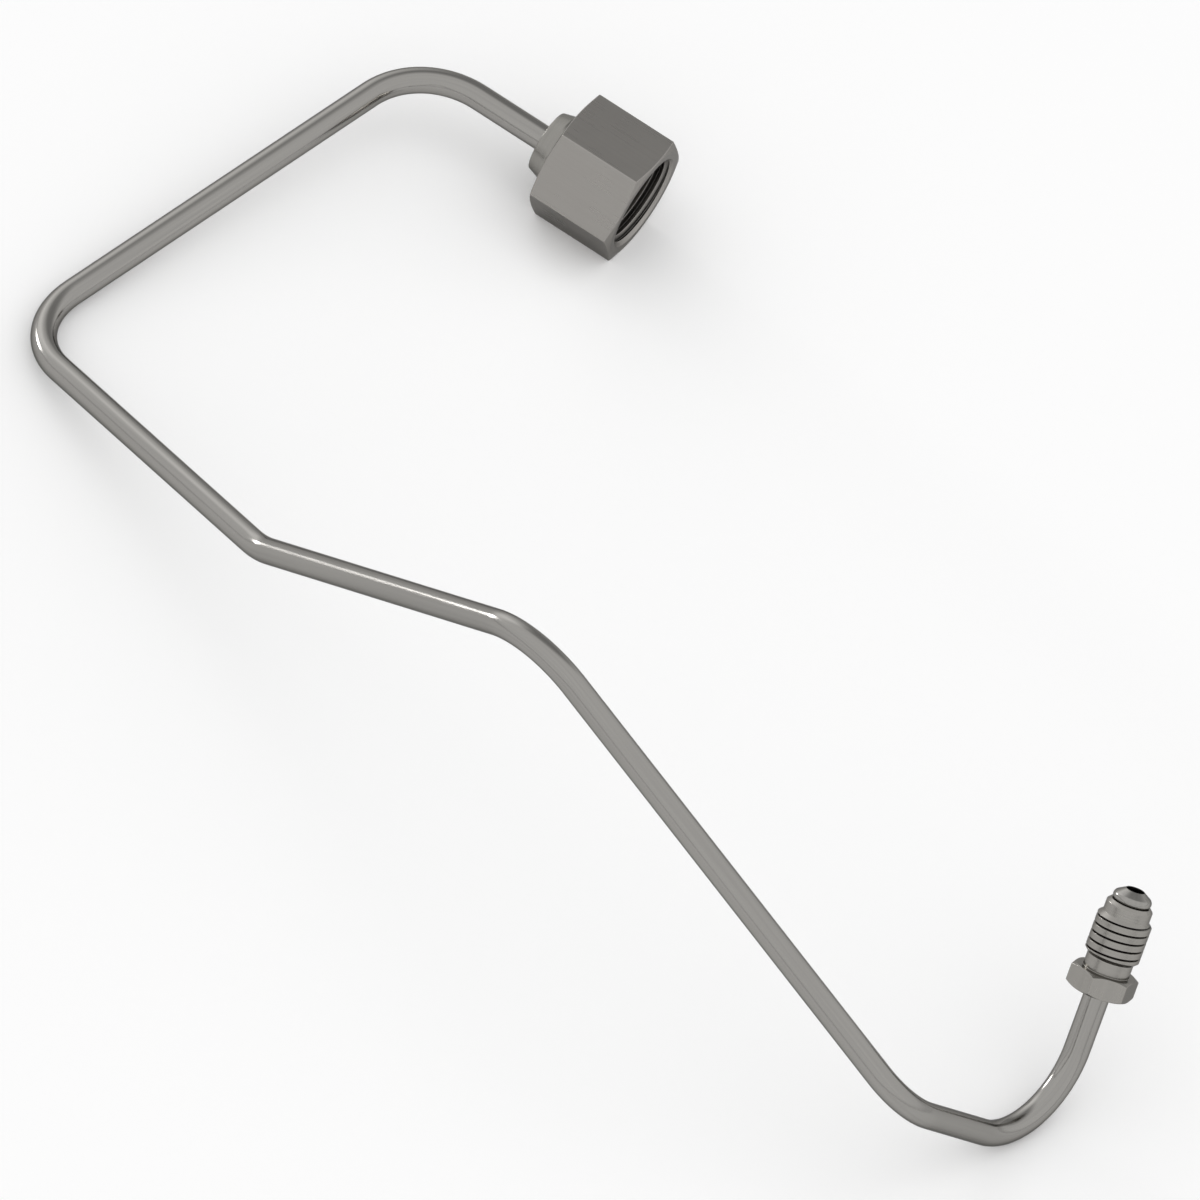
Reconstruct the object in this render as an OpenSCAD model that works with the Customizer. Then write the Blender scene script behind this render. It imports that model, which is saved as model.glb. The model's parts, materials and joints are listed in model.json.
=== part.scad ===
// Bent steel tube assembly, in millimetres.
// One tube with six bends runs from a flat-face sleeve, brazed on under a swivelling union nut,
// to a bubble flare behind a male tube nut.
// It lies as it comes to rest: on the union nut's lower flat and on bends 2 and 6.
// Origin at the middle of that flat, +X out of the union nut's mouth, +Z up.

/* [Tube] */
// Outside diameter of the tube
tube_od = 4.76; // [3.5:0.01:6]
// Wall thickness of the tube
tube_wall = 0.71; // [0.5:0.01:0.9]
// Centreline radius of every bend
bend_radius = 16; // [10:0.5:20]
// How far the bending draws the tube's radius down
bend_draw = 0.01; // [0.005:0.005:0.05]

/* [Straight lengths] */
// From the sleeve's rear end to bend 1
straight_0 = 14.45; // [8:0.05:40]
// Between bends 1 and 2
straight_1 = 72.2; // [50:0.1:100]
// Between bends 2 and 3
straight_2 = 60; // [40:0.1:90]
// Between bends 3 and 4
straight_3 = 70.3; // [50:0.1:100]
// Between bends 4 and 5
straight_4 = 88; // [60:0.1:120]
// Between bends 5 and 6
straight_5 = 18.5; // [10:0.1:40]
// From bend 6 to the tip of the flare
straight_6 = 30.6; // [24:0.1:60]

/* [Bend angles] */
// Angle turned by bend 1
bend_1 = 76.2; // [50:0.05:100]
// Angle turned by bend 2
bend_2 = 81; // [60:0.05:100]
// Angle turned by bend 3
bend_3 = 20.8; // [10:0.05:40]
// Angle turned by bend 4
bend_4 = 72.3; // [50:0.05:90]
// Angle turned by bend 5
bend_5 = 52; // [30:0.05:70]
// Angle turned by bend 6
bend_6 = 101.2; // [80:0.05:110]

/* [Bend planes] */
// Lean of bend 1's plane from upright, about the union nut's axis
plane_1 = -95.85; // [-110:0.05:-80]
// Turn of the bend plane from bend 1 to bend 2
plane_2 = 20.1; // [5:0.05:40]
// Turn of the bend plane from bend 2 to bend 3
plane_3 = 77.4; // [60:0.05:95]
// Turn of the bend plane from bend 3 to bend 4
plane_4 = -153.9; // [-170:0.05:-135]
// Turn of the bend plane from bend 4 to bend 5
plane_5 = 44.1; // [30:0.05:60]
// Turn of the bend plane from bend 5 to bend 6
plane_6 = 55.7; // [40:0.05:70]

/* [Flare] */
// How far the flare stands out from the tube's side
flare_rise = 1.17; // [0.9:0.01:1.4]
// Radius of the flare's rounded rim
flare_rim = 0.95; // [0.92:0.01:1.1]
// Angle of the flare's front cone from the tube's axis
flare_front = 57.5; // [45:0.5:62]
// How far the flare stands out of the tube nut's nose
flare_reach = 2.45; // [2.2:0.05:2.7]

/* [Union nut] */
// Size across the flats of the union nut
union_af = 22; // [21:0.5:30]
// Length of the union nut
union_length = 17; // [16:0.5:26]
// Diameter of the round face at each end of the union nut's hexagon
union_face_d = 21.2; // [19.5:0.1:22]
// Lean of the union nut's corner chamfer from its end face
union_chamfer = 15; // [10:1:35]
// Outside diameter of the union nut's thread
union_thread_d = 18; // [16.5:0.1:18.5]
// Pitch of the union nut's thread
union_pitch = 1.5; // [1:0.25:1.75]
// Depth of the thread, from the union nut's mouth
union_thread_depth = 9.7; // [8:0.1:10]
// Countersink of the union nut's mouth, over the thread's diameter
union_mouth_over = 0.5; // [0.2:0.1:1]
// Width of the clear groove behind the union nut's thread
union_groove = 1.85; // [1.5:0.05:2.5]
// Depth of that groove below the thread's outside diameter
union_groove_depth = 0.15; // [0.05:0.05:0.4]

/* [Sleeve] */
// Diameter of the sleeve's shank, which the union nut turns on
shank_d = 13; // [11.8:0.1:13.6]
// Diameter of the sleeve's rear end
sleeve_rear_d = 11.5; // [9:0.1:11.7]
// Lean of the sleeve's rear taper from its axis
sleeve_taper = 16.5; // [14:0.5:30]
// How far the sleeve stands out behind the union nut
sleeve_overhang = 3.85; // [3:0.05:8]
// Depth of the tube in the sleeve's socket
tube_insert = 7.6; // [5:0.1:9]
// How far the sleeve's sealing face lies behind the thread
face_setback = 0.5; // [0.3:0.1:1]
// Room round the sleeve's head as it passes through the thread
head_room = 0.2; // [0.1:0.05:0.5]
// Broken edge of the sleeve's sealing face
head_edge = 0.3; // [0.1:0.05:0.5]

/* [Tube nut] */
// Size across the flats of the tube nut
tube_nut_af = 11; // [10:0.5:15]
// Height of the tube nut's hexagon
tube_nut_hex = 4; // [3:0.1:6]
// Diameter of the round face at each end of the tube nut's hexagon
tube_nut_face_d = 10.9; // [10:0.1:11.5]
// Lean of the tube nut's corner chamfer from its end face
tube_nut_chamfer = 30; // [15:1:40]
// Diameter of the neck and of the nose of the tube nut
neck_d = 8.5; // [7.8:0.1:9.2]
// Length of the neck between hexagon and thread
neck_length = 2.5; // [1.5:0.1:5]
// Outside diameter of the tube nut's thread
tube_thread_d = 10; // [9.5:0.1:12]
// Length of the thread with its end chamfers
tube_thread_length = 8.1; // [5:0.1:9]
// Length of the plain nose in front of the thread
nose_length = 2.5; // [2:0.1:4]
// Chamfer of the nose
nose_chamfer = 0.6; // [0.2:0.05:0.7]
// Turn of the tube nut's hexagon about its axis, from the plane of bend 6
tube_nut_turn = 18; // [0:1:59]

/* [Clearances] */
// Room for the union nut on the shank and for the tube nut on the tube
nut_clearance = 0.08; // [0.03:0.01:0.1]
// Braze gap between the tube and its socket
braze_gap = 0.05; // [0.02:0.01:0.1]

/* [Hidden] */
$fn = 96;
over = 1;

tube_r = tube_od / 2;
bore_r = tube_r - tube_wall;
straights = [straight_0, straight_1, straight_2, straight_3, straight_4, straight_5];
bends = [bend_1, bend_2, bend_3, bend_4, bend_5, bend_6];
planes = [plane_1, plane_2, plane_3, plane_4, plane_5, plane_6];
// Length over which the tube draws down, short enough for the bend to stay inside the straight's surface
bend_lap = sqrt(bend_draw * bend_radius);

// Distances along the first straight, from the middle of the union nut towards the tube
mouth = -union_length / 2;
back = union_length / 2;
thread_end = mouth + union_thread_depth;
// An inside thread stands in from its outside diameter by 5/8 of the height of its 60 degree triangle
union_bore_r = union_thread_d / 2 - 5 / 8 * cos(30) * union_pitch;
groove_r = union_thread_d / 2 + union_groove_depth;
shank_r = shank_d / 2;
shank_hole_r = shank_r + nut_clearance;
shoulder = thread_end + union_groove + groove_r - shank_hole_r;
sleeve_face = thread_end + face_setback;
sleeve_rear = back + sleeve_overhang;
socket_end = sleeve_rear - tube_insert;
tube_start = socket_end + braze_gap;

// Distances along the last straight, from bend 6 towards the tip
flare_rim_r = tube_r + flare_rise - flare_rim;
flare_cone_r = flare_rim_r + flare_rim * cos(flare_front);
flare_middle = straight_6 - flare_rim * sin(flare_front) - (flare_cone_r - bore_r) / tan(flare_front);
flare_start = flare_middle - flare_rim / cos(45) - (flare_rim_r - tube_r);
nose_end = straight_6 - flare_reach;
thread_front = nose_end - nose_length;
thread_back = thread_front - tube_thread_length;
hex_front = thread_back - neck_length;
hex_back = hex_front - tube_nut_hex;

// Places along the tube: each puts its children with their Z axis along the tube's centreline
module at_union() {
    translate([0, 0, union_af / 2])
        rotate([0, -90, 0])
            children();
}

module round_bend(i) {
    translate([bend_radius, 0, 0])
        rotate([0, bends[i], 0])
            translate([-bend_radius, 0, 0])
                children();
}

module at_bend(i) {
    if (i == 0)
        at_union()
            translate([0, 0, sleeve_rear + straights[0]])
                rotate(planes[0])
                    children();
    else
        past_bend(i - 1)
            translate([0, 0, straights[i]])
                rotate(planes[i])
                    children();
}

module past_bend(i) {
    at_bend(i)
        round_bend(i)
            children();
}

module at_end() {
    past_bend(len(bends) - 1)
        children();
}

// Points of an arc in the plane of a turned profile
function arc(centre, r, from, to, steps = 16) =
    [for (i = [0:steps]) let (a = from + (to - from) * i / steps) centre + r * [cos(a), sin(a)]];

module bend_bar(i, r) {
    translate([bend_radius, 0, 0])
        rotate([90, 0, 180])
            rotate_extrude(angle = bends[i])
                translate([bend_radius, 0])
                    circle(r = r - bend_draw);
}

// Round bar along the whole centreline, from inside the sleeve to the foot of the flare
module tube_bar(r, start) {
    at_union()
        translate([0, 0, start])
            cylinder(h = sleeve_rear + straights[0] + bend_lap - start, r = r);
    for (i = [0:len(bends) - 1])
        at_bend(i)
            bend_bar(i, r);
    for (i = [1:len(bends) - 1])
        past_bend(i - 1)
            translate([0, 0, -bend_lap])
                cylinder(h = straights[i] + 2 * bend_lap, r = r);
    at_end()
        translate([0, 0, -bend_lap])
            cylinder(h = flare_start + bend_lap, r = r);
}

// Turned shape of the flare: out at 45 degrees from radius r, round the rim, and in along the front cone
module flare_bulb(r, rim, cone_end, tip) {
    cone_start = flare_middle - rim / cos(45) - (flare_rim_r - r);
    at_end()
        rotate_extrude()
            polygon(concat([[0, flare_start], [r, flare_start], [r, cone_start]],
                arc([flare_rim_r, flare_middle], rim, -45, flare_front),
                [[bore_r, cone_end], [bore_r, tip], [0, tip]]));
}

module tube() {
    hollow_end = straight_6 - tube_wall / sin(flare_front);
    color("#8f8d89")
        difference() {
            union() {
                tube_bar(tube_r, tube_start);
                flare_bulb(tube_r, flare_rim, straight_6, straight_6);
            }
            union() {
                tube_bar(bore_r, tube_start - over);
                flare_bulb(bore_r, flare_rim - tube_wall, hollow_end, straight_6 + over);
            }
        }
}

// Hexagon bar with its corners turned off at both ends
module hexagon(af, length, face_d, lean) {
    corner_r = af / 2 / cos(30);
    drop = (corner_r - face_d / 2) * tan(lean);
    intersection() {
        cylinder(h = length, r = corner_r, $fn = 6);
        rotate_extrude()
            polygon([[0, 0], [face_d / 2, 0], [corner_r, drop],
                [corner_r, length - drop], [face_d / 2, length], [0, length]]);
    }
}

module sleeve() {
    head_r = union_bore_r - head_room;
    taper = sleeve_rear - (shank_r - sleeve_rear_d / 2) / tan(sleeve_taper);
    socket_r = tube_r + braze_gap;
    color("#85837e")
        at_union()
            rotate_extrude()
                polygon([[bore_r, sleeve_face], [head_r - head_edge, sleeve_face],
                    [head_r, sleeve_face + head_edge], [head_r, shoulder - head_r + shank_r],
                    [shank_r, shoulder], [shank_r, taper], [sleeve_rear_d / 2, sleeve_rear],
                    [socket_r, sleeve_rear], [socket_r, socket_end], [bore_r, socket_end]]);
}

module union_nut() {
    mouth_r = (union_thread_d + union_mouth_over) / 2;
    color("#8a8984")
        at_union()
            difference() {
                translate([0, 0, mouth])
                    rotate(30)
                        hexagon(union_af, union_length, union_face_d, union_chamfer);
                rotate_extrude()
                    polygon([[0, mouth - over], [mouth_r + over, mouth - over],
                        [union_bore_r, mouth + mouth_r - union_bore_r], [union_bore_r, thread_end],
                        [groove_r, thread_end], [groove_r, thread_end + union_groove],
                        [shank_hole_r, shoulder], [shank_hole_r, back + over], [0, back + over]]);
            }
}

module tube_nut() {
    neck_r = neck_d / 2;
    thread_r = tube_thread_d / 2;
    thread_chamfer = thread_r - neck_r;
    bore = tube_r + nut_clearance;
    seat_r = bore + nose_end + over - flare_start;
    color("#94928d")
        at_end()
            difference() {
                union() {
                    translate([0, 0, hex_back])
                        rotate(tube_nut_turn)
                            hexagon(tube_nut_af, tube_nut_hex, tube_nut_face_d, tube_nut_chamfer);
                    rotate_extrude()
                        polygon([[0, hex_front - over], [neck_r, hex_front - over],
                            [neck_r, thread_back], [thread_r, thread_back + thread_chamfer],
                            [thread_r, thread_front - thread_chamfer], [neck_r, thread_front],
                            [neck_r, nose_end - nose_chamfer], [neck_r - nose_chamfer, nose_end],
                            [0, nose_end]]);
                }
                rotate_extrude()
                    polygon([[0, hex_back - over], [bore, hex_back - over], [bore, flare_start],
                        [seat_r, nose_end + over], [0, nose_end + over]]);
            }
}

tube();
sleeve();
union_nut();
tube_nut();
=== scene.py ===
import json
import bpy
import numpy as np
from mathutils import Matrix


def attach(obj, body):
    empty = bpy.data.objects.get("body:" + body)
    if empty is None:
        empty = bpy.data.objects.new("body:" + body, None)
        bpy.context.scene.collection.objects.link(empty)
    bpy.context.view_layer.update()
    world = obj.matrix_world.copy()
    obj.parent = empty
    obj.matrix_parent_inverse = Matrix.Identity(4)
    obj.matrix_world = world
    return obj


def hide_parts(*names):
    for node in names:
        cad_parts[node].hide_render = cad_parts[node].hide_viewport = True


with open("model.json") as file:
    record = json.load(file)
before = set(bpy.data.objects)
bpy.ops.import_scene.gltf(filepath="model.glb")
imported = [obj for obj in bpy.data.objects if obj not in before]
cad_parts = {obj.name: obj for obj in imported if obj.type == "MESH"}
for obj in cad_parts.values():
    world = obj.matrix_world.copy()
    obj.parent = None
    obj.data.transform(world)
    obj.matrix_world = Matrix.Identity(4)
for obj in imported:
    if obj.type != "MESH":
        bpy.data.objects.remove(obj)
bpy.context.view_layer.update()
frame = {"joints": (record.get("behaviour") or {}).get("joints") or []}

# Tube: one length of 3/16 inch cold-drawn steel tube, bent six times round one former.
# One end is brazed into the sleeve, and the other is pressed back on itself into a bubble flare.
# All lengths in this file are in millimetres, and the angles of the route are in degrees.
MM = 0.001
TUBE_R = 4.76 / 2
TUBE_WALL = 0.71
BORE_R = TUBE_R - TUBE_WALL
TUBE_START = 4.8
START_EDGE = 0.15
BEND_R = 16.0
UNION_AXIS_Z = frame["joints"][0]["pos_m"][2] / MM
SLEEVE_REAR = 12.35
BEHIND_SLEEVE = 14.45
STRAIGHTS = np.array([SLEEVE_REAR + BEHIND_SLEEVE, 72.2, 60.0, 70.3, 88.0, 18.5, 30.6])
BENDS = np.array([76.2, 81.0, 20.8, 72.3, 52.0, 101.2])
PLANES = np.array([-95.85, 20.1, 77.4, -153.9, 44.1, 55.7])
TUBE_COLUMNS = 64
STRAIGHT_STEP = 3.0
BEND_STEP = 0.7


def matrix(x=0.0, z=0.0, about_y=0.0, about_z=0.0):
    """Shift along X and Z, then turns in degrees about the new Y and the new Z, as one 4x4 matrix."""
    y, t = np.radians([about_y, about_z])
    turn_y = np.array([[np.cos(y), 0, np.sin(y)], [0, 1, 0], [-np.sin(y), 0, np.cos(y)]])
    turn_z = np.array([[np.cos(t), -np.sin(t), 0], [np.sin(t), np.cos(t), 0], [0, 0, 1]])
    made = np.eye(4)
    made[:3, :3] = turn_y @ turn_z
    made[:3, 3] = x, 0, z
    return made


def walk(start, straights, bends, planes):
    """Start matrix of every straight and bend in turn: along Z by the straight, about Z by the plane's
    turn, and round an axis one bend radius away by the bend."""
    starts = [start]
    for straight, bend, plane in zip(straights, bends, planes):
        bend_start = starts[-1] @ matrix(z=straight, about_z=plane)
        past = bend_start @ matrix(x=BEND_R) @ matrix(about_y=bend) @ matrix(x=-BEND_R)
        starts += [bend_start, past]
    return np.array(starts)


AT_UNION = matrix(z=UNION_AXIS_Z, about_y=-90)
STARTS = walk(AT_UNION, STRAIGHTS, BENDS, PLANES)
AT_END = STARTS[-1]
LENGTHS = np.zeros(len(STARTS))
LENGTHS[0::2] = STRAIGHTS
LENGTHS[1::2] = BEND_R * np.radians(BENDS)
PIECE_AT = np.cumsum(LENGTHS) - LENGTHS
LAST_AT = PIECE_AT[-1]
ROLLS = np.radians(np.repeat(np.r_[0, np.cumsum(PLANES)], 2)[1:])


def along(s):
    """Centre points and two cross axes of the tube at distances s along its centreline.
    A bend turns its start matrix about Y by distance over radius. The cross axes are rolled back
    by the sum of the plane turns so far, so that a line along the tube doesn't twist."""
    piece = np.clip(np.searchsorted(PIECE_AT, s, side="right") - 1, 0, len(PIECE_AT) - 1)
    t = s - PIECE_AT[piece]
    bent = piece % 2 == 1
    a = np.where(bent, t / BEND_R, 0.0)
    zero = np.zeros_like(a)
    local = np.stack([BEND_R * (1 - np.cos(a)), zero, np.where(bent, BEND_R * np.sin(a), t)], -1)
    cross = np.stack([np.cos(a), zero, -np.sin(a)], -1)
    turn = STARTS[piece, :3, :3]
    centre = np.einsum("nij,nj->ni", turn, local) + STARTS[piece, :3, 3]
    x = np.einsum("nij,nj->ni", turn, cross)
    y = turn[:, :, 1]
    cos_roll = np.cos(ROLLS[piece])[:, None]
    sin_roll = np.sin(ROLLS[piece])[:, None]
    return centre, x * cos_roll - y * sin_roll, x * sin_roll + y * cos_roll


def closed_grid(name, points, grain, soil, material):
    """Object of a grid of points that closes on itself both ways, so that it has no pole or open edge.
    Face (i, j) joins points (i, j), (i, j+1), (i+1, j+1) and (i+1, j), and all faces are turned over
    if the volume that they close is negative. Each point carries its grain and a share of painted shade."""
    index = np.arange(points.shape[0] * points.shape[1]).reshape(points.shape[:2])
    below = np.roll(index, -1, 0)
    faces = np.stack([index, np.roll(index, -1, 1), np.roll(below, -1, 1), below], -1).reshape(-1, 4)
    place = points.reshape(-1, 3) * MM
    a, b, c, d = (place[faces[:, k]] for k in range(4))
    volume = np.sum(a * np.cross(b, c)) + np.sum(a * np.cross(c, d))
    faces = faces if volume > 0 else faces[:, ::-1]
    mesh = bpy.data.meshes.new(name)
    mesh.vertices.add(len(place))
    mesh.vertices.foreach_set("co", place.ravel())
    mesh.loops.add(faces.size)
    mesh.loops.foreach_set("vertex_index", np.ascontiguousarray(faces).ravel())
    mesh.polygons.add(len(faces))
    mesh.polygons.foreach_set("loop_start", np.arange(0, faces.size, 4))
    mesh.polygons.foreach_set("use_smooth", np.ones(len(faces), bool))
    lines = mesh.attributes.new("grain", "FLOAT_VECTOR", "POINT")
    lines.data.foreach_set("vector", grain.reshape(-1, 3).ravel())
    dark = mesh.attributes.new("soil", "FLOAT", "POINT")
    dark.data.foreach_set("value", np.broadcast_to(soil, points.shape[:2]).ravel())
    mesh.update(calc_edges=True)
    mesh.materials.append(material)
    made = bpy.data.objects.new(name, mesh)
    bpy.context.scene.collection.objects.link(made)
    return made


def linear(hex_colour):
    """Linear RGBA of an sRGB hex colour: a power of 2.4 above the straight foot of the curve."""
    srgb = np.array([int(hex_colour[i:i + 2], 16) for i in (1, 3, 5)]) / 255
    return (*np.where(srgb > 0.04045, ((srgb + 0.055) / 1.055) ** 2.4, srgb / 12.92), 1.0)


def add(tree, kind, settings=(), links=(), **sockets):
    """Adds a node, sets its properties and input values, and links (node, output, input) into it.
    An underscore in a socket's keyword stands for a space."""
    node = tree.nodes.new(kind)
    for key, value in dict(settings).items():
        setattr(node, key, value)
    for key, value in sockets.items():
        node.inputs[key.replace("_", " ")].default_value = value
    for source, output, target in links:
        tree.links.new(source.outputs[output], node.inputs[target])
    return node


# A Mix node's colour sockets are found by number, because its other sockets have the same names
MIX_FROM = 6
MIX_TO = 7
MIXED = 2
CLOUD_SIZE = 9.0
GLOSS_FROM = 0.6
GLOSS_TO = 1.4
# Near black that is painted into the steel's colour as shade, in bores and thread grooves
PAINTED_SHADE_COLOUR = "#141312"


def lined_steel(name, pale, deep, edge, rough, relief):
    """Satin steel with the fine parallel lines of drawing or turning. The piece's own grain attribute
    counts line widths across the lines, and runs slowly along them. Lines shift the colour between
    pale and deep, the roughness within its range, and stand up by relief millimetres. A slow cloud
    from handling moves the roughness too. A second attribute of the piece darkens the colour towards
    near black: this is painted shade in bores and thread grooves. Edge is the colour that the steel
    reflects at a grazing angle."""
    made = bpy.data.materials.new(name)
    made.use_nodes = True
    tree = made.node_tree
    tree.nodes.clear()
    grain = add(tree, "ShaderNodeAttribute", {"attribute_name": "grain"})
    lines = add(tree, "ShaderNodeTexNoise", links=[(grain, "Vector", "Vector")],
                Scale=1.0, Detail=2.0, Roughness=0.55)
    place = add(tree, "ShaderNodeTexCoord")
    cloud = add(tree, "ShaderNodeTexNoise", links=[(place, "Object", "Vector")],
                Scale=1 / (CLOUD_SIZE * MM), Detail=3.0)
    tone = add(tree, "ShaderNodeMix", {"data_type": "RGBA"}, [(lines, "Fac", "Factor")])
    tone.inputs[MIX_FROM].default_value = linear(deep)
    tone.inputs[MIX_TO].default_value = linear(pale)
    # Painted shade: the colour is mixed towards near black by the piece's shade attribute
    soil = add(tree, "ShaderNodeAttribute", {"attribute_name": "soil"})
    shaded_tone = add(tree, "ShaderNodeMix", {"data_type": "RGBA"},
                 [(soil, "Fac", "Factor"), (tone, MIXED, MIX_FROM)])
    shaded_tone.inputs[MIX_TO].default_value = linear(PAINTED_SHADE_COLOUR)
    both = add(tree, "ShaderNodeMath", {"operation": "ADD"}, [(lines, "Fac", 0), (cloud, "Fac", 1)])
    gloss = add(tree, "ShaderNodeMapRange", links=[(both, "Value", "Value")],
                From_Min=GLOSS_FROM, From_Max=GLOSS_TO, To_Min=rough[0], To_Max=rough[1])
    bump = add(tree, "ShaderNodeBump", links=[(lines, "Fac", "Height")], Strength=1.0, Distance=relief * MM)
    finish = [(shaded_tone, MIXED, "Base Color"), (gloss, "Result", "Roughness"), (bump, "Normal", "Normal")]
    steel = add(tree, "ShaderNodeBsdfPrincipled", links=finish, Metallic=1.0, Specular_Tint=linear(edge))
    add(tree, "ShaderNodeOutputMaterial", links=[(steel, "BSDF", "Surface")])
    return made


# Cold-drawn steel is satin, and the die's fine lines stretch its highlights round the tube. A real die
# line is a few hundredths of a millimetre wide: it is drawn half a millimetre wide here, so that it shows.
LINE_WIDTH = 0.5
LINE_LENGTH = 40.0
# Painted shade: the tube's bore is coloured near black for the shade inside it
BORE_PAINTED_SHADE = 0.9
TUBE_STEEL = lined_steel("cold_drawn_steel", pale="#9d9b97", deep="#8d8b88", edge="#9a9a9a",
                         rough=(0.12, 0.2), relief=0.0015)

FLARE_RISE = 1.17
FLARE_RIM = 0.95
FLARE_FRONT = np.radians(57.5)
FLARE_CLEAR = 0.5
RIM_STEPS = 15
RIM_R = TUBE_R + FLARE_RISE - FLARE_RIM
CONE_R = RIM_R + FLARE_RIM * np.cos(FLARE_FRONT)
TIP = STRAIGHTS[-1]
FLARE_MIDDLE = TIP - FLARE_RIM * np.sin(FLARE_FRONT) - (CONE_R - BORE_R) / np.tan(FLARE_FRONT)
# The lip rounds the edge between the flare's front cone and the bore: its points are shares of its size
TIP_EDGE = 0.12
LIP_BACK = np.array([1 / 6, 0.6, 2.0])
LIP_OUT = np.array([0.3, 0.0, 0.0])


def flare_side(r, rim):
    """Axial and radial places round one side of the flare's wall: out at 45 degrees from radius r,
    round a rim of radius rim, and in along the front cone to the bore."""
    angle = np.linspace(-np.pi / 4, FLARE_FRONT, RIM_STEPS)
    foot = FLARE_MIDDLE - rim / np.cos(np.pi / 4) - (RIM_R - r)
    front = TIP - (FLARE_RIM - rim) / np.sin(FLARE_FRONT)
    z = np.r_[foot, FLARE_MIDDLE + rim * np.sin(angle), front]
    return z, np.r_[r, RIM_R + rim * np.cos(angle), BORE_R]


outer_z, outer_r = flare_side(TUBE_R, FLARE_RIM)
inner_z, inner_r = flare_side(BORE_R, FLARE_RIM - TUBE_WALL)
FLARE_START = outer_z[0]
outer_z[-1] -= TIP_EDGE / np.tan(FLARE_FRONT)
outer_r[-1] += TIP_EDGE
lip_z = TIP - TIP_EDGE * LIP_BACK
lip_r = BORE_R + TIP_EDGE * LIP_OUT
steps = np.full(len(LENGTHS), STRAIGHT_STEP)
steps[1::2] = BEND_STEP
counts = (LENGTHS / steps).astype(int) + 1
stations = np.concatenate([np.linspace(a, a + n, k, endpoint=False)
                           for a, n, k in zip(PIECE_AT, LENGTHS, counts)])
past_start = stations > TUBE_START + START_EDGE
before_flare = stations < LAST_AT + FLARE_START - FLARE_CLEAR
stations = stations[past_start & before_flare]
# The outline runs along the outside, round the flare and back through the bore
tube_s = np.r_[TUBE_START, TUBE_START + START_EDGE, stations,
               LAST_AT + np.r_[outer_z, lip_z, inner_z[::-1]], stations[::-1], TUBE_START]
tube_r = np.r_[TUBE_R - START_EDGE, np.full(len(stations) + 1, TUBE_R),
               outer_r, lip_r, inner_r[::-1], np.full(len(stations) + 1, BORE_R)]
tube_angles = np.linspace(0, 2 * np.pi, TUBE_COLUMNS, endpoint=False)
tube_x = np.cos(tube_angles)
tube_y = np.sin(tube_angles)
centre, across, side = along(tube_s)
ring = tube_x[None, :, None] * across[:, None] + tube_y[None, :, None] * side[:, None]
tube_points = centre[:, None] + tube_r[:, None, None] * ring
tube_grain = np.stack(np.broadcast_arrays((tube_s / LINE_LENGTH)[:, None],
                                          TUBE_R / LINE_WIDTH * tube_x,
                                          TUBE_R / LINE_WIDTH * tube_y), -1)
# The bore's rows get painted shade, and the outside gets none
tube_soil = np.where(tube_r > BORE_R, 0.0, BORE_PAINTED_SHADE)[:, None]
tube = closed_grid("bent_tube", tube_points, tube_grain, tube_soil, TUBE_STEEL)
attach(tube, "tube")
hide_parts("tube")

# Sleeve: turned from steel bar, with a socket for the tube and a head that the union nut pulls on.
# It is brazed to the tube, and the film of braze hardly shows.
# Its tapered rear end stands out behind the nut, and its flat face lies inside the nut's mouth.
SLEEVE_FACE = 1.7
HEAD_R = 7.988
HEAD_EDGE = 0.3
SHOULDER = 5.62
SHANK_R = 6.5
SLEEVE_REAR_R = 5.75
TAPER = np.radians(16.5)
BRAZE_GAP = 0.05
SOCKET_R = TUBE_R + BRAZE_GAP
SOCKET_END = TUBE_START - BRAZE_GAP
# The outline opens and closes between these two places in the bore
SEAM_FRONT = 3.0
SEAM_BACK = 3.4
TURNED_COLUMNS = 96
BROKEN_EDGE = 0.12
EASE_STEPS = np.linspace(0, 1, 4)
EASED_ROWS = len(EASE_STEPS) + 2
CUT_SHARE = 0.3
FLAT_REACH = 1.5
# Turned steel has fine rings, which stretch its highlights along the axis. The lathe's feed is about
# a tenth of a millimetre: the rings are drawn three times wider here, so that they show.
RING_WIDTH = 0.3
RING_LENGTH = 12.0
RING_LEAN = 0.8
TURNED_STEEL = lined_steel("turned_steel", pale="#95938e", deep="#868480", edge="#b0b0b0",
                           rough=(0.2, 0.3), relief=0.002)


def eased(outline, reach):
    """Rounds the inner corners of an open outline, given as (corner, column, axial and radial place).
    Each corner is cut back by reach, at most CUT_SHARE of its shorter side, and joined by a parabola.
    One more point on either side, FLAT_REACH times as far off, keeps the face beside it flat."""
    here = outline[1:-1]
    back = outline[:-2] - here
    on = outline[2:] - here
    back_length = np.linalg.norm(back, axis=-1, keepdims=True)
    on_length = np.linalg.norm(on, axis=-1, keepdims=True)
    cut = np.minimum(reach, CUT_SHARE * np.minimum(back_length, on_length))
    back = back / back_length * cut
    on = on / on_length * cut
    t = EASE_STEPS[None, :, None, None]
    curve = here[:, None] + (1 - t) ** 2 * back[:, None] + t**2 * on[:, None]
    before = (here + FLAT_REACH * back)[:, None]
    after = (here + FLAT_REACH * on)[:, None]
    rows = np.concatenate([before, curve, after], 1)
    return np.concatenate([outline[:1], rows.reshape(-1, *outline.shape[1:]), outline[-1:]])


def turned(at, outline, angles):
    """Points of an outline of (axial, radial) places carried round the Z axis of a 4x4 matrix."""
    axial, r = outline[..., 0], outline[..., 1]
    local = np.stack([r * np.cos(angles), r * np.sin(angles), axial], -1)
    return local @ at[:3, :3].T + at[:3, 3]


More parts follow.
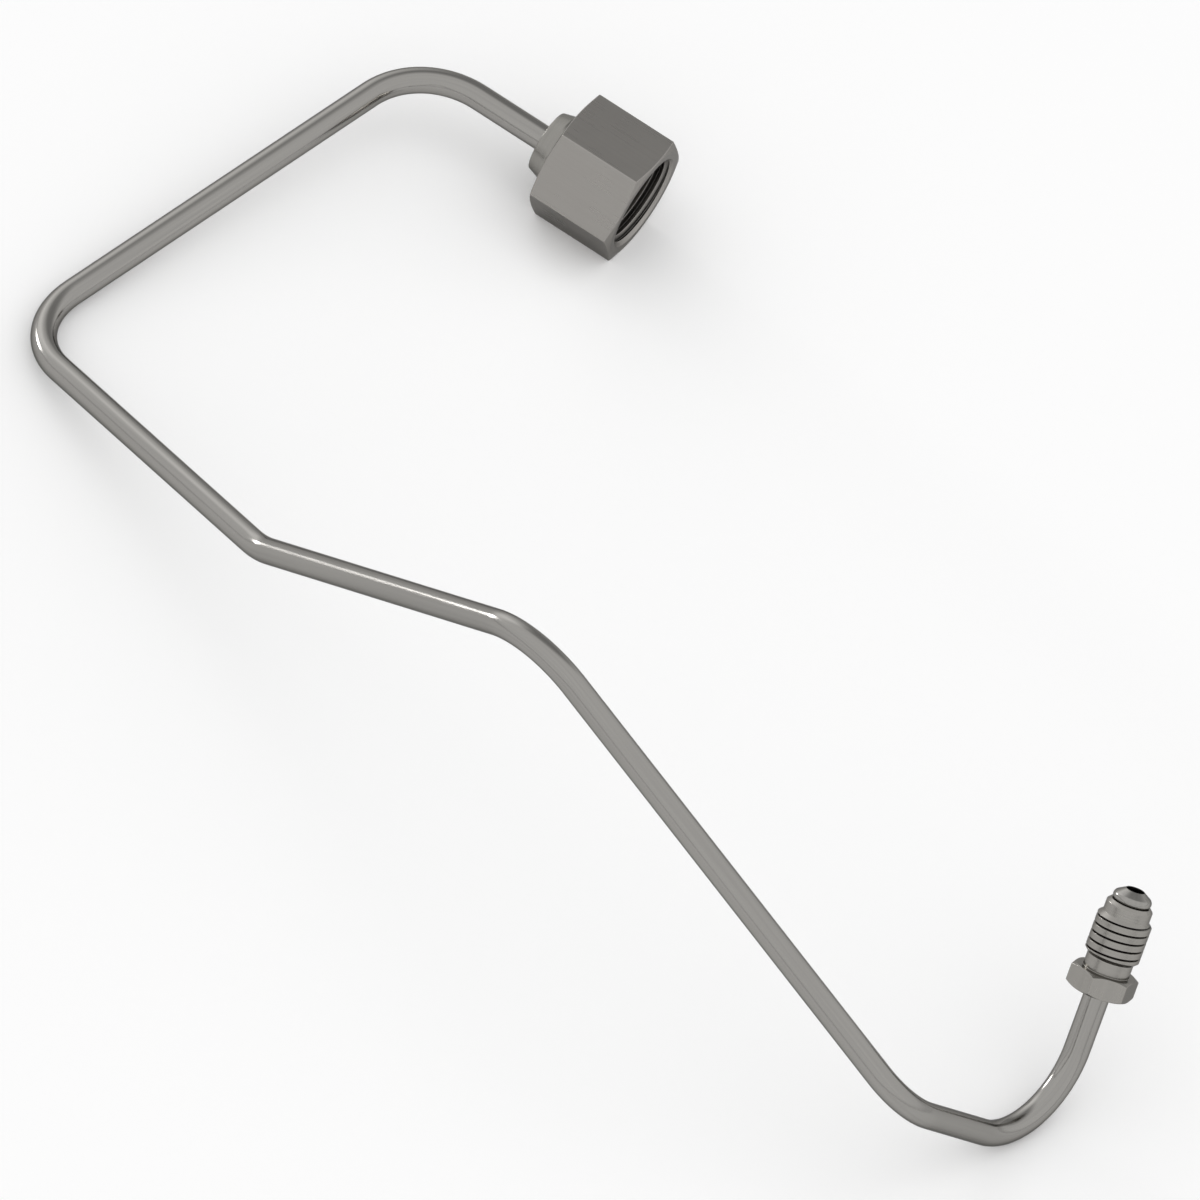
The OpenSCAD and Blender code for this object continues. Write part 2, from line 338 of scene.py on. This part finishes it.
def turned_grain(outline, angles):
    """Rings of a turned surface: line widths counted by the axial place and a share of the radial one,
    so that each ring is a circle on any cone or face, and slow change round it."""
    rings = (outline[..., 0] + RING_LEAN * outline[..., 1]) / RING_WIDTH
    r = outline[..., 1] / RING_LENGTH
    return np.stack([rings, r * np.cos(angles), r * np.sin(angles)], -1)


taper_start = SLEEVE_REAR - (SHANK_R - SLEEVE_REAR_R) / np.tan(TAPER)
sleeve_corners = np.array([
    (SEAM_FRONT, BORE_R), (SLEEVE_FACE, BORE_R), (SLEEVE_FACE, HEAD_R - HEAD_EDGE),
    (SLEEVE_FACE + HEAD_EDGE, HEAD_R), (SHOULDER - HEAD_R + SHANK_R, HEAD_R), (SHOULDER, SHANK_R),
    (taper_start, SHANK_R), (SLEEVE_REAR, SLEEVE_REAR_R), (SLEEVE_REAR, SOCKET_R),
    (SOCKET_END, SOCKET_R), (SOCKET_END, BORE_R), (SEAM_BACK, BORE_R)])
sleeve_angles = np.linspace(0, 2 * np.pi, TURNED_COLUMNS, endpoint=False)
sleeve_outline = eased(np.repeat(sleeve_corners[:, None], TURNED_COLUMNS, 1), BROKEN_EDGE)
sleeve = closed_grid("brazed_sleeve", turned(AT_UNION, sleeve_outline, sleeve_angles),
                     turned_grain(sleeve_outline, sleeve_angles), 0.0, TURNED_STEEL)
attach(sleeve, "tube")
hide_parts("sleeve")

# Union nut: cut from cold-drawn hexagon bar, 22 mm across flats, with both ends chamfered on a lathe
# and an 18 mm thread of 1.5 mm pitch cut inside.
# It turns freely on the sleeve's shank.
UNION_AF = 22.0
UNION_HALF = 17.0 / 2
UNION_FACE_R = 21.2 / 2
UNION_CHAMFER = np.radians(15)
UNION_TURN = np.pi / 6
UNION_THREAD_R = 18.0 / 2
UNION_PITCH = 1.5
# Flanks at 60 degrees make a thread as high as its pitch times this cosine, and five eighths of it are cut
UNION_BORE_R = UNION_THREAD_R - 5 / 8 * np.cos(np.pi / 6) * UNION_PITCH
UNION_CREST = 1 / 8
UNION_ROOT = 1 / 8
COUNTERSINK = 0.25
MOUTH_R = UNION_THREAD_R + COUNTERSINK
THREAD_END = 1.2
GROOVE_END = 3.05
GROOVE_DEPTH = 0.15
GROOVE_R = UNION_THREAD_R + GROOVE_DEPTH
NUT_CLEARANCE = 0.08
SHANK_HOLE_R = SHANK_R + NUT_CLEARANCE
HEX_ROUND = 0.25
HEX_COLUMNS = 72
# Columns at a hexagon's corner, as shares of the angle from its middle to the end of its arc
CORNER_SHARES = np.array([-1.5, -1.0, -0.7, -0.35, 0.0, 0.35, 0.7, 1.0, 1.5])
SAME_ANGLE = 1e-6
ROWS_PER_PITCH = 48
# On both nuts the flats lie between corners 3 and 4 of the outline, on two eased rows of each
FLAT_MIDDLE = 1 + 3 * EASED_ROWS
FLAT_ROWS = slice(FLAT_MIDDLE - 2, FLAT_MIDDLE + 2)
# Painted shade in the union nut's thread, darkest at the roots and fading up the flanks
ROOT_PAINTED_SHADE = 0.4
ROOT_SHADE_SPREAD = 6
# Cold-drawn bar is duller than the tube, with faint lines along its flats and rings where it was turned
BAR_STEEL = lined_steel("cold_drawn_hexagon_bar", pale="#9b9894", deep="#95928e", edge="#b0b0b0",
                        rough=(0.25, 0.33), relief=0.0006)


def hexagon(af, rounding, corner_at):
    """Angles of columns round a hexagon and its radius at each: evenly spaced, with nine close together
    at each corner. The corner is an arc of the rounding radius that touches both flats, and beyond the
    arc the radius is half the size across flats over the cosine of the angle from the flat's middle."""
    inner = (af / 2 - rounding) / np.cos(np.pi / 6)
    touch = np.arctan2(rounding / 2, inner + rounding * np.cos(np.pi / 6))
    corners = np.arange(6) * np.pi / 3
    even = np.arange(HEX_COLUMNS) * 2 * np.pi / HEX_COLUMNS
    off = np.abs((even + np.pi / 6) % (np.pi / 3) - np.pi / 6)
    angles = np.sort(np.r_[even[off > SAME_ANGLE], (corners[:, None] + touch * CORNER_SHARES).ravel()])
    off = np.abs((angles + np.pi / 6) % (np.pi / 3) - np.pi / 6)
    flat = af / 2 / np.cos(np.pi / 6 - off)
    arc = inner * np.cos(off) + np.sqrt(np.maximum(rounding**2 - (inner * np.sin(off)) ** 2, 0))
    return angles + corner_at, np.where(off < touch, arc, flat)


def ridge(axial, angles, pitch, crest, root):
    """Height of a right-hand thread, from 0 at the root to 1 at the crest. The turns at a place are its
    axial place over the pitch, less its angle over a full turn. In each turn a flat crest and a flat
    root, as shares of the pitch, are joined by straight flanks."""
    turns = axial / pitch - angles / (2 * np.pi)
    off = np.abs(turns % 1 - 0.5) * 2
    return np.clip((off - root) / (1 - root - crest), 0, 1)


def rows_of(corners, columns):
    """Corners of (axial, radial) places, each one number or one per column, as an outline array."""
    return np.array([np.stack(np.broadcast_arrays(a, r, np.zeros(columns))[:2], -1) for a, r in corners])


def bar_grain(outline, angles, flat_rows):
    """Rings on turned rows, and lengthwise lines on the rows of the drawn flats."""
    rings = turned_grain(outline, angles)
    r = outline[..., 1] / LINE_WIDTH
    lines = np.stack([outline[..., 0] / LINE_LENGTH, r * np.cos(angles), r * np.sin(angles)], -1)
    rings[flat_rows] = lines[flat_rows]
    return rings


hex_angles, hex_r = hexagon(UNION_AF, HEX_ROUND, UNION_TURN)
drop = (hex_r - UNION_FACE_R) * np.tan(UNION_CHAMFER)
# The outline opens and closes a quarter of the way down the countersink
cone_start = (MOUTH_R - UNION_BORE_R) / 4
union_corners = rows_of([
    (cone_start - UNION_HALF, MOUTH_R - cone_start), (-UNION_HALF, MOUTH_R), (-UNION_HALF, UNION_FACE_R),
    (drop - UNION_HALF, hex_r), (UNION_HALF - drop, hex_r), (UNION_HALF, UNION_FACE_R),
    (UNION_HALF, SHANK_HOLE_R), (SHOULDER, SHANK_HOLE_R), (GROOVE_END, GROOVE_R),
    (THREAD_END, GROOVE_R)], len(hex_angles))
thread_rows = np.arange(THREAD_END, cone_start - UNION_HALF, -UNION_PITCH / ROWS_PER_PITCH)[:, None]
crest = ridge(thread_rows, hex_angles, UNION_PITCH, UNION_CREST, UNION_ROOT)
thread_r = UNION_THREAD_R - (UNION_THREAD_R - UNION_BORE_R) * crest
# The countersink cuts the thread off at 45 degrees
lead = thread_rows + UNION_HALF
thread_r = np.maximum(np.minimum(thread_r, UNION_BORE_R + lead), MOUTH_R - lead)
thread_outline = np.stack(np.broadcast_arrays(thread_rows, thread_r), -1)
union_outline = np.concatenate([eased(union_corners, BROKEN_EDGE), thread_outline])
# Painted shade: the thread's roots inside the mouth are darkened, and the countersink is left plain
root_soil = ROOT_PAINTED_SHADE * (1 - crest**ROOT_SHADE_SPREAD)
union_soil = np.zeros(union_outline.shape[:2])
union_soil[-len(thread_rows):] = np.where(thread_r > MOUTH_R - lead, root_soil, 0)
union_nut = closed_grid("union_nut_hexagon", turned(AT_UNION, union_outline, hex_angles),
                        bar_grain(union_outline, hex_angles, FLAT_ROWS), union_soil, BAR_STEEL)
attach(union_nut, "union_nut")
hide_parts("union_nut")

# Tube nut: a male nut cut from 11 mm cold-drawn hexagon bar, with a 10 mm thread, a neck and a plain
# nose turned on it. It turns on the tube, and its nose pushes the flare into its seat.
TUBE_NUT_AF = 11.0
TUBE_NUT_FACE_R = 10.9 / 2
TUBE_NUT_CHAMFER = np.radians(30)
TUBE_NUT_TURN = np.radians(18)
NECK_R = 8.5 / 2
TUBE_THREAD_R = 10.0 / 2
TUBE_PITCH = 1.5
TUBE_THREAD_DEPTH = 0.42
TUBE_CREST = 0.72
TUBE_ROOT = 0.04
FLARE_OUT = 2.45
NOSE_LENGTH = 2.5
THREAD_LENGTH = 8.1
NECK_LENGTH = 2.5
HEX_LENGTH = 4.0
NOSE_CHAMFER = 0.6
NOSE_END = TIP - FLARE_OUT
THREAD_FRONT = NOSE_END - NOSE_LENGTH
THREAD_BACK = THREAD_FRONT - THREAD_LENGTH
HEX_FRONT = THREAD_BACK - NECK_LENGTH
HEX_BACK = HEX_FRONT - HEX_LENGTH
NUT_BORE_R = TUBE_R + NUT_CLEARANCE
# The outline opens and closes in the bore, at the hexagon's front and this far beyond it
NUT_SEAM = 0.5
NUT_EDGE = 0.08
NUT_ROUND = 0.16
GROOVE_SHADE_SPREAD = 2
# A finer cut leaves this nut glossier than the union nut, and its thread's grooves are painted black as
# shade
NUT_STEEL = lined_steel("turned_hexagon_bar", pale="#9b9893", deep="#8e8c88", edge="#a8a8a8",
                        rough=(0.2, 0.3), relief=0.001)

nut_angles, nut_r = hexagon(TUBE_NUT_AF, NUT_ROUND, TUBE_NUT_TURN)
drop = (nut_r - TUBE_NUT_FACE_R) * np.tan(TUBE_NUT_CHAMFER)
seat_r = NUT_BORE_R + NOSE_END - FLARE_START
rear_corners = rows_of([
    (HEX_FRONT, NUT_BORE_R), (HEX_BACK, NUT_BORE_R), (HEX_BACK, TUBE_NUT_FACE_R),
    (HEX_BACK + drop, nut_r), (HEX_FRONT - drop, nut_r), (HEX_FRONT, TUBE_NUT_FACE_R),
    (HEX_FRONT, NECK_R), (THREAD_BACK - NUT_EDGE, NECK_R), (THREAD_BACK, NECK_R)], len(nut_angles))
front_corners = rows_of([
    (THREAD_FRONT, NECK_R), (THREAD_FRONT + NUT_EDGE, NECK_R), (NOSE_END - NOSE_CHAMFER, NECK_R),
    (NOSE_END, NECK_R - NOSE_CHAMFER), (NOSE_END, seat_r), (FLARE_START, NUT_BORE_R),
    (HEX_FRONT + NUT_SEAM, NUT_BORE_R)], len(nut_angles))
rear_outline = eased(rear_corners, NUT_EDGE)
front_outline = eased(front_corners, NUT_EDGE)
thread_rows = np.arange(THREAD_BACK, THREAD_FRONT, TUBE_PITCH / ROWS_PER_PITCH)[1:, None]
crest = ridge(thread_rows, nut_angles, TUBE_PITCH, TUBE_CREST, TUBE_ROOT)
thread_r = TUBE_THREAD_R - TUBE_THREAD_DEPTH * (1 - crest)
# Both ends of the thread are chamfered at 45 degrees
run_in = np.minimum(thread_rows - THREAD_BACK, THREAD_FRONT - thread_rows)
thread_r = np.minimum(thread_r, NECK_R + run_in)
thread_outline = np.stack(np.broadcast_arrays(thread_rows, thread_r), -1)
nut_outline = np.concatenate([rear_outline, thread_outline, front_outline])
nut_soil = np.zeros(nut_outline.shape[:2])
# Painted shade: the tube nut's thread is darkened towards its grooves
nut_soil[len(rear_outline):-len(front_outline)] = (1 - crest) ** GROOVE_SHADE_SPREAD
tube_nut = closed_grid("tube_nut_hexagon", turned(AT_END, nut_outline, nut_angles),
                       bar_grain(nut_outline, nut_angles, FLAT_ROWS), nut_soil, NUT_STEEL)
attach(tube_nut, "tube_nut")
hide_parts("tube_nut")

# Floor: a wide sheet of matt white card, laid level, that the part lies on.
# It is a flat grid at the height of the union nut's lower flat.
FLOOR_HALF = 6000.0
FLOOR_CELLS = 24
CARD_WHITE = "#fefefe"
# Uncoated card is matt, so it shows soft shadows and no reflections
CARD = bpy.data.materials.new("matt_white_card")
CARD.use_nodes = True
CARD.node_tree.nodes.clear()
card_face = add(CARD.node_tree, "ShaderNodeBsdfPrincipled",
                Base_Color=linear(CARD_WHITE), Roughness=0.9, Specular_IOR_Level=0.0)
add(CARD.node_tree, "ShaderNodeOutputMaterial", links=[(card_face, "BSDF", "Surface")])
edge = np.linspace(-FLOOR_HALF, FLOOR_HALF, FLOOR_CELLS + 1) * MM
floor_x, floor_y = np.meshgrid(edge, edge)
floor_points = np.stack([floor_x, floor_y, np.zeros_like(floor_x)], -1).reshape(-1, 3)
index = np.arange(len(floor_points)).reshape(FLOOR_CELLS + 1, FLOOR_CELLS + 1)
cell_corners = [index[:-1, :-1], index[:-1, 1:], index[1:, 1:], index[1:, :-1]]
floor_faces = np.stack(cell_corners, -1).reshape(-1, 4)
floor_mesh = bpy.data.meshes.new("floor")
floor_mesh.from_pydata(floor_points.tolist(), [], floor_faces.tolist())
floor_mesh.materials.append(CARD)
floor = bpy.data.objects.new("floor", floor_mesh)
bpy.context.scene.collection.objects.link(floor)

# Light: a plain white room, darker near the floor, with a grey card behind the part, a soft box at the
# back left and a small bright strip box low at the left. Steel shows what it mirrors: the card darkens
# the tube's upper edges and the union nut's top flat, and the boxes draw bright lines along the tube.
ROOM_WHITE = "#ffffff"
ROOM_LEVEL = 1.03
GREY_CARD_LEVEL = 0.42
SOFT_BOX_LEVEL = 0.55
STRIP_BOX_LEVEL = 30.0
SKIRTING_LEVEL = 0.7
SKIRTING_TOP = np.radians(12)
ROOM = bpy.data.worlds.new("studio")
bpy.context.scene.world = ROOM
ROOM.use_nodes = True
ROOM.node_tree.nodes.clear()
look = add(ROOM.node_tree, "ShaderNodeTexCoord")


def towards(azimuth, elevation):
    """Unit vector at an azimuth from +Y towards +X and an elevation, in degrees."""
    a, e = np.radians([azimuth, elevation])
    return np.sin(a) * np.cos(e), np.cos(a) * np.cos(e), np.sin(e)


def patch(middle, inner, outer, rest, level):
    """Brightness of a round patch of the room: level within the inner angle of its middle, in degrees,
    rest beyond the outer angle, and a smooth step between."""
    nearness = add(ROOM.node_tree, "ShaderNodeVectorMath", {"operation": "DOT_PRODUCT"},
                   [(look, "Generated", 0)])
    nearness.inputs[1].default_value = middle
    return add(ROOM.node_tree, "ShaderNodeMapRange", {"interpolation_type": "SMOOTHSTEP"},
               [(nearness, "Value", "Value")], From_Min=np.cos(np.radians(outer)),
               From_Max=np.cos(np.radians(inner)), To_Min=rest, To_Max=level)


walls = patch(towards(azimuth=-15, elevation=32), inner=12, outer=40,
              rest=ROOM_LEVEL, level=GREY_CARD_LEVEL)
soft_box = patch(towards(azimuth=-49, elevation=16), inner=10, outer=32, rest=0.0, level=SOFT_BOX_LEVEL)
strip_box = patch(towards(azimuth=-80, elevation=1), inner=3, outer=9, rest=0.0, level=STRIP_BOX_LEVEL)
for box in (soft_box, strip_box):
    walls = add(ROOM.node_tree, "ShaderNodeMath", {"operation": "ADD"}, [(box, 0, 0), (walls, 0, 1)])
height = add(ROOM.node_tree, "ShaderNodeSeparateXYZ", links=[(look, "Generated", "Vector")])
skirting = add(ROOM.node_tree, "ShaderNodeMapRange", {"interpolation_type": "SMOOTHSTEP"},
               [(height, "Z", "Value")], From_Min=0.0, From_Max=np.sin(SKIRTING_TOP),
               To_Min=SKIRTING_LEVEL, To_Max=1.0)
brightness = add(ROOM.node_tree, "ShaderNodeMath", {"operation": "MULTIPLY"},
                 [(walls, "Value", 0), (skirting, "Result", 1)])
background = add(ROOM.node_tree, "ShaderNodeBackground", links=[(brightness, "Value", "Strength")],
                 Color=linear(ROOM_WHITE))
add(ROOM.node_tree, "ShaderNodeOutputWorld", links=[(background, "Background", "Surface")])

# Camera: far off with a long lens, because the photo has no visible perspective.
# It looks down at the part from the front and is rolled about its own axis.
CAMERA_AZIMUTH = 162.37
CAMERA_ELEVATION = 48.46
CAMERA_ROLL = 19.42
LOOK_AT = np.array([53.82, -89.69, 19.26])
CAMERA_AWAY = 8770.0
LENS = 1500.0
SENSOR_WIDTH = 36.0
CLIP_START = 100.0
CLIP_END = 30000.0


def facing(back, roll):
    """Rotation whose Z is the unit vector back, with X level, then rolled about Z by roll in degrees."""
    x = np.cross([0, 0, 1], back)
    x = x / np.linalg.norm(x)
    y = np.cross(back, x)
    cos_roll = np.cos(np.radians(roll))
    sin_roll = np.sin(np.radians(roll))
    return np.stack([x * cos_roll + y * sin_roll, y * cos_roll - x * sin_roll, back], -1)


lens = bpy.data.cameras.new("camera")
lens.lens = LENS
lens.sensor_width = SENSOR_WIDTH
lens.clip_start = CLIP_START * MM
lens.clip_end = CLIP_END * MM
camera = bpy.data.objects.new("camera", lens)
bpy.context.scene.collection.objects.link(camera)
back = np.array(towards(CAMERA_AZIMUTH, CAMERA_ELEVATION))
world = np.eye(4)
world[:3, :3] = facing(back, CAMERA_ROLL)
world[:3, 3] = (LOOK_AT + CAMERA_AWAY * back) * MM
camera.matrix_world = Matrix(world.tolist())
bpy.context.scene.camera = camera
bpy.context.scene.view_settings.view_transform = "Standard"

bpy.context.view_layer.update()
